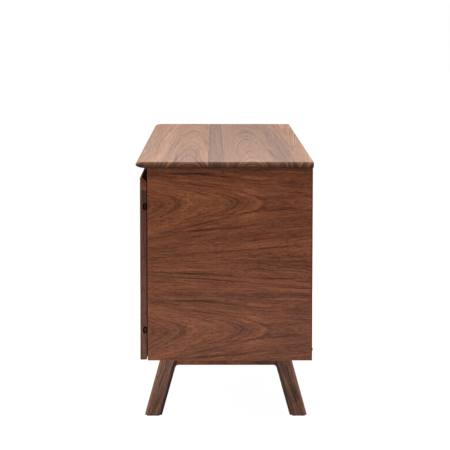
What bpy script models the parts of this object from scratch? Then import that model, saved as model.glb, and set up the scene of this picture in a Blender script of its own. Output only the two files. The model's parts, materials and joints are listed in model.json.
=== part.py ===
"""Walnut media console for a television: a long, low cabinet on two splayed leg frames.

Metres, +Z up. The origin is on the floor under the middle of the cabinet. The length runs along X,
the doors and the drawer face -Y, and the back faces +Y.

A solid top sits on a carcass of two end panels, a bottom, an inner top and two dividers. The outer
bays have hinged doors and a shelf, and the middle bay has an open niche over a drawer on
three-part slides. Every front has a bevelled grip rail under a finger gap, so there are no handles.
"""

import math

import bmesh
import bpy
from mathutils import Matrix, Vector

# Overall size
LENGTH = 1.800
DEPTH = 0.450
HEIGHT = 0.662
FIT = 0.0003  # gap kept between pieces that touch
ARRIS = 0.0010  # small chamfer on sawn edges

# Solid top
TOP_THICKNESS = 0.0165
TOP_CORNER = 0.022  # plan radius of the two front corners
TOP_RIDGE_DROP = 0.0085  # height of the widest line of the edge below the surface
TOP_INSETS = {"front": (0.017, 0.020), "end": (0.0065, 0.0080), "rear": (0.0015, 0.0015)}
TOP_UNDERSIDE = HEIGHT - TOP_THICKNESS

# Carcass
BOARD = 0.018
END_OVERHANG = 0.0085
END_FACE = LENGTH / 2 - END_OVERHANG
END_INNER = END_FACE - BOARD
CARCASS_FRONT = -0.195
CARCASS_REAR = DEPTH / 2 - 0.002
CARCASS_BASE = 0.155
FLOOR_TOP = CARCASS_BASE + BOARD
INNER_TOP_BASE = TOP_UNDERSIDE - BOARD
INNER_TOP_FRONT = -0.168  # set back, so that fingers reach behind the fronts
BACK_PANEL = 0.006
BACK_PANEL_FACE = CARCASS_REAR - 0.002 - BACK_PANEL
NICHE_HALF = 0.300
DIVIDER_OUTER = NICHE_HALF + BOARD

# Shelves
SHELF = 0.016
SHELF_BASE = 0.395
SHELF_FRONT = -0.160
BEARER = 0.015
NICHE_SHELF_BASE = 0.385

# Cable outlets in the back panel: half width, radius of the round ends, height of the centre
CABLE_HALF = 0.045
CABLE_RADIUS = 0.020
BAY_CABLE_Z = 0.235
NICHE_CABLE_Z = 0.455
BAY_MIDDLE = (DIVIDER_OUTER + END_INNER) / 2

# Fronts
FRONT_BACK = CARCASS_FRONT - 0.002
FRONT_THICKNESS = 0.0165
FRONT_FACE = FRONT_BACK - FRONT_THICKNESS
FRONT_BASE = CARCASS_BASE + 0.002
FINGER_GAP = 0.023
DOOR_TOP = TOP_UNDERSIDE - FINGER_GAP
DRAWER_TOP = NICHE_SHELF_BASE - FINGER_GAP
GRIP_HEIGHT = 0.032
GRIP_BEVEL = 0.0115
FRONT_REVEAL = 0.0015
FRONT_ROUND = 0.0020
HINGE_STILE = 0.060
CLOSING_STILE = 0.026

# Door hinges: a stub barrel in a pocket in the door's back corner, and a leaf wrapped round the panel
HINGE_X = END_FACE - 0.0050
HINGE_Y = -0.2011
HINGE_LEVELS = {"lower": 0.233, "upper": 0.548}
KNUCKLE_RADIUS = 0.0053
PIN_RADIUS = 0.0016
PIN_HOLE_RADIUS = 0.0019
PIN_HEAD = ((0.0042, 0.0), (0.0040, 0.0007), (0.0026, 0.0014), (0.0, 0.0017))  # radius, height
DOOR_KNUCKLE_HALF = 0.0024
FRAME_KNUCKLE_INNER = 0.0027
FRAME_KNUCKLE_OUTER = 0.0054
LEAF = 0.0014
LEAF_LENGTH = 0.030
LEAF_HALF_HEIGHT = 0.015
FRAME_LEAF_REAR = CARCASS_FRONT - FIT
FRAME_LEAF_FRONT = FRAME_LEAF_REAR - LEAF
FRAME_LEAF_PLATE = CARCASS_FRONT + 0.0015  # front and far end of the plate inside the end panel
FRAME_LEAF_END = CARCASS_FRONT + 0.045
FRAME_LEAF_ROOT = CARCASS_FRONT + 0.00975  # how far the bent tongue runs back over the plate
FRAME_FORK = HINGE_X - 0.00848  # where the tongue forks round the door's knuckle
DOOR_NECK_END = HINGE_X - 0.00318  # how far the door's neck runs into its knuckle
DOOR_LEAF_REAR = FRONT_BACK - 0.0002
DOOR_LEAF_FRONT = DOOR_LEAF_REAR - LEAF
DOOR_LEAF_START = HINGE_X - 0.019  # where the neck from the barrel widens into the leaf
POCKET_RADIUS = 0.0061
POCKET_STRAIGHT = 0.0030
POCKET_DEPTH = 0.0120

# Leg frames
LEG_FRAME_FACE = END_FACE - 0.060
LEG_THICKNESS = 0.030
LEG_WIDTH = 0.0443
LEG_SPLAY = math.radians(15.5)
LEG_CHAMFER = 0.0015
FOOT_OUTER = 0.2097  # from the frame's middle to the foot's outer edge at the floor
FRAME_MIDDLE_Y = 0.0042
LEG_RAIL_HEIGHT = 0.0217
LEG_FILLET = 0.008
PAD_THICKNESS = 0.002
PAD_HALF = (0.011, 0.016)

# Drawer
DRAWER_SIDE = 0.012
DRAWER_HALF = 0.2865
DRAWER_BASE = 0.185
DRAWER_BOX_TOP = 0.325
DRAWER_REAR = 0.185
DRAWER_FLOOR = 0.006
SLIDE_CENTRE_Z = 0.245
SLIDE_SHEET = 0.0012
SLIDE_FRONT = -0.180
SLIDE_REAR = 0.170

# Magnetic door catches
CATCH_SIZE = (0.014, 0.016, 0.046)
CATCH_Z = 0.560

SIDES = (("right", 1.0), ("left", -1.0))


def clear_scene():
    for obj in list(bpy.data.objects):
        bpy.data.objects.remove(obj)


def material(name, colour, roughness, metallic=0.0):
    made = bpy.data.materials.new(name)
    made.use_nodes = True
    shader = made.node_tree.nodes["Principled BSDF"]
    shader.inputs["Base Color"].default_value = (*colour, 1.0)
    shader.inputs["Roughness"].default_value = roughness
    shader.inputs["Metallic"].default_value = metallic
    made.diffuse_color = (*colour, 1.0)
    return made


def make_materials():
    return {
        "top": material("walnut_solid_top", (0.36, 0.23, 0.16), 0.42),
        "veneer": material("walnut_veneer", (0.17, 0.062, 0.033), 0.45),
        "solid": material("walnut_solid", (0.12, 0.060, 0.040), 0.48),
        "inner": material("walnut_inner", (0.14, 0.060, 0.036), 0.55),
        "back": material("walnut_ply_back", (0.13, 0.058, 0.036), 0.60),
        "maple": material("maple_drawer_box", (0.62, 0.44, 0.27), 0.50),
        "bronze": material("dark_bronze", (0.035, 0.028, 0.024), 0.38, 0.9),
        "steel": material("zinc_steel", (0.55, 0.56, 0.57), 0.35, 0.9),
        "felt": material("felt_pad", (0.045, 0.040, 0.036), 0.95),
        "plastic": material("brown_plastic", (0.075, 0.042, 0.030), 0.50),
    }


def empty(name, location):
    made = bpy.data.objects.new(name, None)
    made.location = location
    bpy.context.scene.collection.objects.link(made)
    return made


def add(name, bm, look, parent=None, origin=(0, 0, 0)):
    """Closes the bmesh into an object whose mesh is given in world space, with its own origin."""
    bmesh.ops.recalc_face_normals(bm, faces=bm.faces)
    bmesh.ops.translate(bm, vec=-Vector(origin), verts=bm.verts)
    mesh = bpy.data.meshes.new(name)
    bm.to_mesh(mesh)
    bm.free()
    obj = bpy.data.objects.new(name, mesh)
    bpy.context.scene.collection.objects.link(obj)
    obj.data.materials.append(look)
    obj.location = origin
    if parent is not None:
        obj.parent = parent
        obj.matrix_parent_inverse = Matrix.Translation(parent.location).inverted()
    return obj


def block_mesh(low, high):
    """A block between two opposite corners, given in either order."""
    small = Vector([min(pair) for pair in zip(low, high)])
    large = Vector([max(pair) for pair in zip(low, high)])
    bm = bmesh.new()
    size = Matrix.Diagonal((*(large - small), 1.0))
    bmesh.ops.create_cube(bm, size=1.0, matrix=Matrix.Translation((small + large) / 2) @ size)
    return bm


def bevelled(obj, width, segments=1):
    bevel = obj.modifiers.new("bevel", "BEVEL")
    bevel.width = width
    bevel.segments = segments
    bevel.limit_method = "ANGLE"
    return obj


def board(name, low, high, look, parent=None, arris=ARRIS, segments=1):
    """A rectangular board between two opposite corners."""
    middle = (Vector(low) + Vector(high)) / 2
    made = add(name, block_mesh(low, high), look, parent, middle)
    return bevelled(made, arris, segments) if arris else made


def prism_mesh(outline, axis, start, end):
    """An outline in the plane across an axis (0 X, 1 Y, 2 Z), extruded along it."""
    others = [i for i in range(3) if i != axis]
    bm = bmesh.new()
    corners = []
    for point in outline:
        place = [0.0, 0.0, 0.0]
        place[axis] = start
        place[others[0]], place[others[1]] = point
        corners.append(bm.verts.new(place))
    face = bm.faces.new(corners)
    swept = bmesh.ops.extrude_face_region(bm, geom=[face])
    shift = Vector((0, 0, 0))
    shift[axis] = end - start
    moved = [item for item in swept["geom"] if isinstance(item, bmesh.types.BMVert)]
    bmesh.ops.translate(bm, vec=shift, verts=moved)
    return bm


def tube_mesh(centre, outer, inner, low, high, sides=24):
    """A ring with its axis along Z, or a plain disc where inner is 0."""
    bm = bmesh.new()
    rings = []
    for radius, height in ((outer, low), (outer, high), (inner, high), (inner, low)):
        if radius == 0:
            continue
        turn = [2 * math.pi * i / sides for i in range(sides)]
        rings.append([
            bm.verts.new((centre[0] + radius * math.cos(t), centre[1] + radius * math.sin(t), height))
            for t in turn
        ])
    closed_rings = len(rings) == 4
    pairs = list(zip(rings, rings[1:] + rings[:1])) if closed_rings else [(rings[0], rings[1])]
    for first, second in pairs:
        for i in range(sides):
            j = (i + 1) % sides
            bm.faces.new((first[i], first[j], second[j], second[i]))
    if not closed_rings:
        bm.faces.new(rings[0])
        bm.faces.new(rings[1])
    return bm


def lathe_mesh(centre, profile, sides=20):
    """A solid turned about Z from (radius, height) points. Both ends of the profile lie on the axis."""
    bm = bmesh.new()
    bottom = bm.verts.new((*centre, profile[0][1]))
    top = bm.verts.new((*centre, profile[-1][1]))
    rings = []
    for radius, height in profile[1:-1]:
        rings.append([
            bm.verts.new((
                centre[0] + radius * math.cos(2 * math.pi * i / sides),
                centre[1] + radius * math.sin(2 * math.pi * i / sides),
                height,
            ))
            for i in range(sides)
        ])
    for i in range(sides):
        j = (i + 1) % sides
        bm.faces.new((bottom, rings[0][j], rings[0][i]))
        bm.faces.new((top, rings[-1][i], rings[-1][j]))
        for first, second in zip(rings, rings[1:]):
            bm.faces.new((first[i], first[j], second[j], second[i]))
    return bm


def helper(name, bm, look):
    """A shape that only cuts or joins another, so it isn't a piece of its own."""
    obj = add(name, bm, look)
    obj.hide_render = True
    obj.display_type = "WIRE"
    return obj


def combine(target, operation, *tools):
    for tool in tools:
        step = target.modifiers.new(operation.lower(), "BOOLEAN")
        step.operation = operation
        step.object = tool
    return target


def smooth(obj):
    obj.data.shade_smooth()
    obj.data.set_sharp_from_angle(angle=math.radians(35))
    return obj


def stadium(middle_x, middle_z, half_x, radius, steps=8):
    """A slot with round ends, long in X, as points in the XZ plane."""
    points = []
    for sign, first in ((1, -90), (-1, 90)):
        for i in range(steps + 1):
            t = math.radians(first + 180 * i / steps)
            points.append((
                middle_x + sign * (half_x - radius) + radius * math.cos(t),
                middle_z + radius * math.sin(t),
            ))
    return points


def top_levels(steps=5):
    """(height, inset at the front, at the ends, at the rear) up the edge, as two quarter ellipses."""
    levels = []
    under = TOP_THICKNESS - TOP_RIDGE_DROP
    for i in range(steps + 1):
        t = math.radians(90 * i / steps)
        insets = [pair[1] * (1 - math.sin(t)) for pair in TOP_INSETS.values()]
        levels.append((TOP_UNDERSIDE + under * (1 - math.cos(t)), *insets))
    for i in range(1, steps + 1):
        t = math.radians(90 * i / steps)
        insets = [pair[0] * (1 - math.cos(t)) for pair in TOP_INSETS.values()]
        levels.append((HEIGHT - TOP_RIDGE_DROP * (1 - math.sin(t)), *insets))
    return levels


def top_outline(front, end, rear, steps=7):
    """The top's plan outline for one set of insets: round front corners, square rear ones."""
    half_x, half_y = LENGTH / 2, DEPTH / 2
    points = [(half_x - end, half_y - rear), (-half_x + end, half_y - rear)]
    for sign in (-1, 1):
        for i in range(steps + 1):
            t = math.radians(90 * (i if sign < 0 else steps - i) / steps)
            points.append((
                sign * (half_x - TOP_CORNER + (TOP_CORNER - end) * math.cos(t)),
                -(half_y - TOP_CORNER + (TOP_CORNER - front) * math.sin(t)),
            ))
    return points


def make_top(looks):
    bm = bmesh.new()
    rings = []
    for height, front, end, rear in top_levels():
        rings.append([bm.verts.new((x, y, height)) for x, y in top_outline(front, end, rear)])
    count = len(rings[0])
    for lower, upper in zip(rings, rings[1:]):
        for i in range(count):
            j = (i + 1) % count
            bm.faces.new((lower[i], lower[j], upper[j], upper[i]))
    bm.faces.new(rings[0])
    bm.faces.new(rings[-1])
    smooth(add("top_panel", bm, looks["top"], origin=(0, 0, TOP_UNDERSIDE)))


def make_carcass(looks):
    veneer, inner = looks["veneer"], looks["inner"]
    inner_rear = BACK_PANEL_FACE - FIT
    for side, s in SIDES:
        board(
            f"{side}_end_panel",
            (s * END_INNER, CARCASS_FRONT, CARCASS_BASE),
            (s * END_FACE, CARCASS_REAR, TOP_UNDERSIDE - FIT),
            veneer,
            arris=0.0012,
        )
        board(
            f"{side}_divider",
            (s * NICHE_HALF, CARCASS_FRONT, FLOOR_TOP + FIT),
            (s * DIVIDER_OUTER, inner_rear, INNER_TOP_BASE - FIT),
            inner,
        )
    reach = END_INNER - FIT
    board("bottom_panel", (-reach, CARCASS_FRONT, CARCASS_BASE), (reach, inner_rear, FLOOR_TOP), inner)
    board(
        "inner_top_panel",
        (-reach, INNER_TOP_FRONT, INNER_TOP_BASE),
        (reach, inner_rear, TOP_UNDERSIDE - FIT),
        inner,
    )
    make_niche_shelf(looks)
    make_back(looks)


def make_niche_shelf(looks):
    """The floor of the niche. Its nose comes forward between the doors, level with their faces."""
    wide, narrow = NICHE_HALF - FIT, NICHE_HALF - FRONT_REVEAL
    rear = BACK_PANEL_FACE - FIT
    outline = [(-wide, rear), (-wide, CARCASS_FRONT), (-narrow, CARCASS_FRONT), (-narrow, FRONT_FACE)]
    outline += [(-x, y) for x, y in reversed(outline)]
    bm = prism_mesh(outline, 2, NICHE_SHELF_BASE, NICHE_SHELF_BASE + BOARD)
    bevelled(add("niche_shelf", bm, looks["veneer"], origin=(0, 0, NICHE_SHELF_BASE)), ARRIS)


def make_back(looks):
    reach = END_INNER - FIT
    low = (-reach, BACK_PANEL_FACE, CARCASS_BASE)
    high = (reach, BACK_PANEL_FACE + BACK_PANEL, TOP_UNDERSIDE - FIT)
    back = board("back_panel", low, high, looks["back"], arris=0)
    places = {
        "left": (-BAY_MIDDLE, BAY_CABLE_Z),
        "niche": (0.0, NICHE_CABLE_Z),
        "right": (BAY_MIDDLE, BAY_CABLE_Z),
    }
    for place, (x, z) in places.items():
        outline = stadium(x, z, CABLE_HALF, CABLE_RADIUS)
        slot = prism_mesh(outline, 1, low[1] - BACK_PANEL, high[1] + BACK_PANEL)
        combine(back, "DIFFERENCE", helper(f"{place}_cable_cutter", slot, looks["back"]))


def make_shelves(looks):
    rear = BACK_PANEL_FACE - FIT
    for side, s in SIDES:
        board(
            f"{side}_shelf",
            (s * (DIVIDER_OUTER + FIT), SHELF_FRONT, SHELF_BASE),
            (s * (END_INNER - FIT), rear, SHELF_BASE + SHELF),
            looks["inner"],
        )
        walls = {"divider": (DIVIDER_OUTER + FIT, 1), "end": (END_INNER - FIT, -1)}
        for wall, (x, inward) in walls.items():
            board(
                f"{side}_shelf_bearer_{wall}",
                (s * x, SHELF_FRONT + 0.012, SHELF_BASE - FIT - BEARER),
                (s * (x + inward * BEARER), rear - 0.02, SHELF_BASE - FIT),
                looks["solid"],
            )


def inner_line(height):
    """Half the clear width between a frame's two legs, at a height above the floor."""
    return FOOT_OUTER - LEG_WIDTH - height * math.tan(LEG_SPLAY)


def leg_outline(t):
    """A splayed leg in the YZ plane, flat under the carcass and on its pad."""
    top, foot = CARCASS_BASE - FIT, PAD_THICKNESS + FIT
    points = [
        (inner_line(foot), foot),
        (inner_line(foot) + LEG_WIDTH, foot),
        (inner_line(top) + LEG_WIDTH, top),
        (inner_line(top), top),
    ]
    return [(FRAME_MIDDLE_Y + t * y, z) for y, z in points]


def leg_rail_outline(steps=5):
    """The rail between the legs. Its ends follow their splay and run down them in a fillet."""
    top, base = CARCASS_BASE - FIT, CARCASS_BASE - LEG_RAIL_HEIGHT
    seam = FIT / math.cos(LEG_SPLAY)
    turn = math.pi / 2 - LEG_SPLAY
    corner = inner_line(base) - seam
    middle_y = corner - LEG_FILLET * math.tan(turn / 2)
    middle_z = base - LEG_FILLET
    half = [(inner_line(top) - seam, top)]
    for i in range(steps + 1):
        t = LEG_SPLAY + turn * (0.12 + 0.88 * i / steps)
        half.append((middle_y + LEG_FILLET * math.cos(t), middle_z + LEG_FILLET * math.sin(t)))
    tip = half[1]
    half.insert(1, (inner_line(tip[1]) - seam, tip[1]))
    mirrored = [(-y, z) for y, z in reversed(half)]
    return [(FRAME_MIDDLE_Y + y, z) for y, z in half + mirrored]


def make_leg_frames(looks):
    for side, s in SIDES:
        outer, inner = s * LEG_FRAME_FACE, s * (LEG_FRAME_FACE - LEG_THICKNESS)
        middle_x = (outer + inner) / 2
        for place, t in (("front", -1.0), ("rear", 1.0)):
            leg = prism_mesh(leg_outline(t), 0, inner, outer)
            foot_y = FRAME_MIDDLE_Y + t * (FOOT_OUTER - LEG_WIDTH / 2)
            leg_obj = add(f"{side}_{place}_leg", leg, looks["solid"], origin=(middle_x, foot_y, 0))
            bevelled(leg_obj, LEG_CHAMFER, 2)
            board(
                f"{side}_{place}_foot_pad",
                (middle_x - PAD_HALF[0], foot_y - PAD_HALF[1], 0.0),
                (middle_x + PAD_HALF[0], foot_y + PAD_HALF[1], PAD_THICKNESS),
                looks["felt"],
                arris=0,
            )
        rail = prism_mesh(leg_rail_outline(), 0, inner, outer)
        add(f"{side}_leg_rail", rail, looks["solid"], origin=(middle_x, FRAME_MIDDLE_Y, CARCASS_BASE))


def soften(bm, seam_z, width):
    """Rounds every edge of a front's piece but those in its seam with the next piece."""
    edges = [e for e in bm.edges if any(abs(v.co.z - seam_z) > FIT for v in e.verts)]
    bmesh.ops.bevel(bm, geom=edges, offset=width, segments=2, profile=0.5, affect="EDGES")
    return bm


def grip_rail(name, start, end, top, looks, parent):
    """The strip along a front's top edge. Its rear half slopes down, for the fingers."""
    base = top - GRIP_HEIGHT + FIT
    outline = [
        (FRONT_FACE, base),
        (FRONT_FACE, top),
        (FRONT_BACK - GRIP_BEVEL, top),
        (FRONT_BACK, top - GRIP_BEVEL),
        (FRONT_BACK, base),
    ]
    bm = soften(prism_mesh(outline, 0, start, end), base, FRONT_ROUND)
    add(name, bm, looks["veneer"], parent, ((start + end) / 2, FRONT_BACK, base))


def front_board(name, start, end, top, look, parent, width=FRONT_ROUND):
    seam = top - GRIP_HEIGHT
    bm = block_mesh((start, FRONT_FACE, FRONT_BASE), (end, FRONT_BACK, seam))
    origin = ((start + end) / 2, FRONT_BACK, FRONT_BASE)
    return add(name, soften(bm, seam, width), look, parent, origin)


def make_door(side, s, looks):
    """A slab between two solid stiles, with the grip rail across the top. The parent is on the axis."""
    pivot = empty(f"{side}_door_pivot", (s * HINGE_X, HINGE_Y, 0.0))
    outer, free = END_FACE, NICHE_HALF + FRONT_REVEAL
    panel_outer, panel_free = outer - HINGE_STILE, free + CLOSING_STILE
    solid = looks["solid"]
    stile = front_board(f"{side}_door_hinge_stile", s * panel_outer, s * outer, DOOR_TOP, solid, pivot)
    for level, z in HINGE_LEVELS.items():
        combine(stile, "DIFFERENCE", *hinge_cutters(f"{side}_{level}", s, z, looks))
    panel_ends = (s * panel_free, s * (panel_outer - FIT))
    front_board(f"{side}_door_panel", *panel_ends, DOOR_TOP, looks["veneer"], pivot, FIT)
    closing_ends = (s * free, s * (panel_free - FIT))
    front_board(f"{side}_door_closing_stile", *closing_ends, DOOR_TOP, solid, pivot)
    grip_rail(f"{side}_door_grip_rail", *sorted((s * free, s * outer)), DOOR_TOP, looks, pivot)
    return pivot


def hinge_cutters(label, s, z, looks):
    """The pocket for the barrel, open at the door's end and back, and the leaf's recess."""
    outline = []
    for sign, first in ((1, 0), (-1, 180)):
        for i in range(9):
            t = math.radians(first + 180 * i / 8)
            height = z + sign * POCKET_STRAIGHT + POCKET_RADIUS * math.sin(t)
            outline.append((HINGE_Y + POCKET_RADIUS * math.cos(t), height))
    pocket = prism_mesh(outline, 0, s * (END_FACE - POCKET_DEPTH), s * (END_FACE + BOARD))
    floor, behind = DOOR_LEAF_FRONT - FIT, CARCASS_FRONT
    neck = DOOR_KNUCKLE_HALF + 2 * FIT
    plate = LEAF_HALF_HEIGHT + FIT
    far_end = DOOR_LEAF_START - LEAF_LENGTH - FIT
    start = DOOR_LEAF_START + FIT
    mouth = END_FACE - POCKET_DEPTH + FIT
    shapes = {
        "pocket": pocket,
        "neck": block_mesh((s * start, floor, z - neck), (s * mouth, behind, z + neck)),
        "plate": block_mesh((s * far_end, floor, z - plate), (s * start, behind, z + plate)),
    }
    return [helper(f"{label}_{name}_cutter", bm, looks["solid"]) for name, bm in shapes.items()]


def make_frame_leaf(label, s, z, looks):
    """Screwed inside the end panel, bent round its front edge and forked round the door's knuckle."""
    centre = (s * HINGE_X, HINGE_Y)
    face = END_INNER - FIT
    thin = face - LEAF
    outer, inner = FRAME_KNUCKLE_OUTER, FRAME_KNUCKLE_INNER
    shapes = [
        block_mesh((s * thin, FRAME_LEAF_FRONT, z - outer), (s * face, FRAME_LEAF_ROOT, z + outer)),
        block_mesh((s * thin, FRAME_LEAF_FRONT, z - outer), (s * FRAME_FORK, FRAME_LEAF_REAR, z + outer)),
    ]
    for low, high in ((z - outer, z - inner), (z + inner, z + outer)):
        shapes.append(
            block_mesh((s * (FRAME_FORK - LEAF), FRAME_LEAF_FRONT, low), (s * HINGE_X, FRAME_LEAF_REAR, high))
        )
        shapes.append(tube_mesh(centre, KNUCKLE_RADIUS, PIN_HOLE_RADIUS, low, high))
    plate = block_mesh(
        (s * thin, FRAME_LEAF_PLATE, z - LEAF_HALF_HEIGHT),
        (s * face, FRAME_LEAF_END, z + LEAF_HALF_HEIGHT),
    )
    leaf = add(f"{label}_frame_leaf", plate, looks["bronze"], origin=(*centre, z))
    joined = [helper(f"{label}_frame_part_{i}", bm, looks["bronze"]) for i, bm in enumerate(shapes)]
    combine(leaf, "UNION", *joined)


def make_door_leaf(label, s, z, pivot, looks):
    centre = (s * HINGE_X, HINGE_Y)
    half = DOOR_KNUCKLE_HALF
    far_end = DOOR_LEAF_START - LEAF_LENGTH
    plate = block_mesh(
        (s * far_end, DOOR_LEAF_FRONT, z - LEAF_HALF_HEIGHT),
        (s * DOOR_LEAF_START, DOOR_LEAF_REAR, z + LEAF_HALF_HEIGHT),
    )
    leaf = add(f"{label}_door_leaf", plate, looks["bronze"], pivot, (*centre, z))
    neck = block_mesh(
        (s * (DOOR_LEAF_START - LEAF), DOOR_LEAF_FRONT, z - half),
        (s * DOOR_NECK_END, DOOR_LEAF_REAR, z + half),
    )
    ring = tube_mesh(centre, KNUCKLE_RADIUS, PIN_HOLE_RADIUS, z - half, z + half)
    shapes = (neck, ring)
    joined = [helper(f"{label}_door_part_{i}", bm, looks["bronze"]) for i, bm in enumerate(shapes)]
    combine(leaf, "UNION", *joined)


def make_hinge(side, level, s, pivot, looks):
    z = HINGE_LEVELS[level]
    label = f"{side}_{level}_hinge"
    make_frame_leaf(label, s, z, looks)
    make_door_leaf(label, s, z, pivot, looks)
    centre = (s * HINGE_X, HINGE_Y)
    shoulder = FRAME_KNUCKLE_OUTER + FIT / 2
    upper = [(radius, shoulder + height) for radius, height in ((PIN_RADIUS, 0.0), *PIN_HEAD)]
    profile = [(radius, z - height) for radius, height in reversed(upper)]
    profile += [(radius, z + height) for radius, height in upper]
    smooth(add(f"{label}_pin", lathe_mesh(centre, profile), looks["bronze"], origin=(*centre, z)))


def make_drawer(looks):
    runner = empty("drawer_runner", (0.0, FRONT_BACK, SLIDE_CENTRE_Z))
    reach = NICHE_HALF - FRONT_REVEAL
    front_board("drawer_front", -reach, reach, DRAWER_TOP, looks["veneer"], runner)
    grip_rail("drawer_grip_rail", -reach, reach, DRAWER_TOP, looks, runner)
    front_end = FRONT_BACK + FIT
    inner_half = DRAWER_HALF - DRAWER_SIDE
    for side, s in SIDES:
        board(
            f"drawer_{side}_side",
            (s * inner_half, front_end, DRAWER_BASE),
            (s * DRAWER_HALF, DRAWER_REAR, DRAWER_BOX_TOP),
            looks["maple"],
            runner,
        )
    wide = inner_half - FIT
    floor_base = DRAWER_BASE + 0.008
    board(
        "drawer_back",
        (-wide, DRAWER_REAR - DRAWER_SIDE, DRAWER_BASE),
        (wide, DRAWER_REAR, DRAWER_BOX_TOP - 0.012),
        looks["maple"],
        runner,
    )
    board(
        "drawer_bottom",
        (-wide, front_end, floor_base),
        (wide, DRAWER_REAR - DRAWER_SIDE - FIT, floor_base + DRAWER_FLOOR),
        looks["maple"],
        runner,
        arris=0,
    )
    return runner


def channel(s, web, lip, half_height):
    """A C section in the XZ plane: web and lip are the X of the web's face and of the flanges' ends."""
    toward = 1 if lip > web else -1
    inside = web + toward * SLIDE_SHEET
    inner_half = half_height - SLIDE_SHEET
    points = [
        (web, -half_height), (lip, -half_height), (lip, -inner_half), (inside, -inner_half),
        (inside, inner_half), (lip, inner_half), (lip, half_height), (web, half_height),
    ]
    return [(s * x, SLIDE_CENTRE_Z + z) for x, z in points]


def make_slides(looks, runner):
    """Three nested channels on each side. The middle ones travel half as far as the drawer."""
    middle = empty("slide_middle_runner", (0.0, SLIDE_FRONT, SLIDE_CENTRE_Z))
    sections = {
        "outer": (NICHE_HALF - FIT, NICHE_HALF - 0.0110, 0.0225, None),
        "middle": (NICHE_HALF - 0.0066, NICHE_HALF - 0.0024, 0.0182, middle),
        "inner": (DRAWER_HALF + FIT, NICHE_HALF - 0.0076, 0.0137, runner),
    }
    for side, s in SIDES:
        for member, (web, lip, half_height, parent) in sections.items():
            bm = prism_mesh(channel(s, web, lip, half_height), 1, SLIDE_FRONT, SLIDE_REAR)
            place = (s * web, SLIDE_FRONT, SLIDE_CENTRE_Z)
            add(f"{side}_slide_{member}", bm, looks["steel"], parent, place)


def make_catches(looks):
    width, depth, height = CATCH_SIZE
    for side, s in SIDES:
        start = DIVIDER_OUTER + FIT
        board(
            f"{side}_door_catch",
            (s * start, CARCASS_FRONT - 0.001, CATCH_Z - height / 2),
            (s * (start + width), CARCASS_FRONT - 0.001 + depth, CATCH_Z + height / 2),
            looks["plastic"],
        )


def main():
    clear_scene()
    looks = make_materials()
    make_top(looks)
    make_carcass(looks)
    make_shelves(looks)
    make_leg_frames(looks)
    for side, s in SIDES:
        pivot = make_door(side, s, looks)
        for level in HINGE_LEVELS:
            make_hinge(side, level, s, pivot, looks)
    runner = make_drawer(looks)
    make_slides(looks, runner)
    make_catches(looks)


main()
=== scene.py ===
"""Looks for the walnut television console: fine shapes, walnut, fittings, light and camera.

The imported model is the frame. Every piece is built again in its CAD node's place, the wooden ones
with softened arrises and a figure of their own. Screws, grommets and catch plates are added.
Lengths are in metres. The right end faces +X and the fronts face -Y.
"""

import json
import math

import bmesh
import bpy
from mathutils import Matrix, Vector


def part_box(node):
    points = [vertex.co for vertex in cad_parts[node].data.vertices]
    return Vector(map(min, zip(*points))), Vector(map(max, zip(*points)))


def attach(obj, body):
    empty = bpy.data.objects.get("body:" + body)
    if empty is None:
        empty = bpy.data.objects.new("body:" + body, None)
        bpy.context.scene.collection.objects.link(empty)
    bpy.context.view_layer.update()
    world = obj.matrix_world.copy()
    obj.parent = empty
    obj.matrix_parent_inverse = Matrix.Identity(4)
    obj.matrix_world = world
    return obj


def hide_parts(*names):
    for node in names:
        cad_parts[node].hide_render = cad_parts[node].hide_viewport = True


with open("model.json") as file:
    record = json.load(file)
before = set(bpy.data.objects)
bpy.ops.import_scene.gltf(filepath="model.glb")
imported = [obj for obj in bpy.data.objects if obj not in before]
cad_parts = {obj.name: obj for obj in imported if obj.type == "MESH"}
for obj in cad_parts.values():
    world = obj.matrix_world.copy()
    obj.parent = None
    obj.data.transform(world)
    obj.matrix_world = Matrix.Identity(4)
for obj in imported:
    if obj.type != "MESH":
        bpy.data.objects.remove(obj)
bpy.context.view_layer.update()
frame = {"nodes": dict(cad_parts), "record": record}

# The top's edge, as in the CAD part
TOP_CORNER = 0.022  # plan radius of the two front corners
TOP_RIDGE_DROP = 0.0085  # height of the widest line of the edge below the surface
TOP_INSETS = {"front": (0.017, 0.020), "end": (0.0065, 0.0080), "rear": (0.0015, 0.0015)}  # above, below
TOP_EDGE_STEPS = 10
TOP_CORNER_STEPS = 14

# The leg frames, as in the CAD part
LEG_SPLAY = math.radians(15.5)
LEG_WIDTH = 0.0443
LEG_ARRIS = 0.0028
FOOT_OUTER = 0.2097  # from the frame's middle to the foot's outer edge at the floor
FRAME_MIDDLE_Y = 0.0042
LEG_FILLET = 0.008
RAIL_BASE = 0.1333
FILLET_STEPS = 10
FILLET_TIP = 0.12  # share of the fillet that is left off where it would thin out to nothing
SEAM = 0.0003  # gap between pieces that touch

# Fittings, as in the CAD part
CABLE_SLOTS = ((-0.59575, 0.235), (0.0, 0.455), (0.59575, 0.235))  # middle, height
CABLE_HALF = 0.045
CABLE_RADIUS = 0.020
HINGE_LEVELS = {"lower": 0.233, "upper": 0.548}

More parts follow.
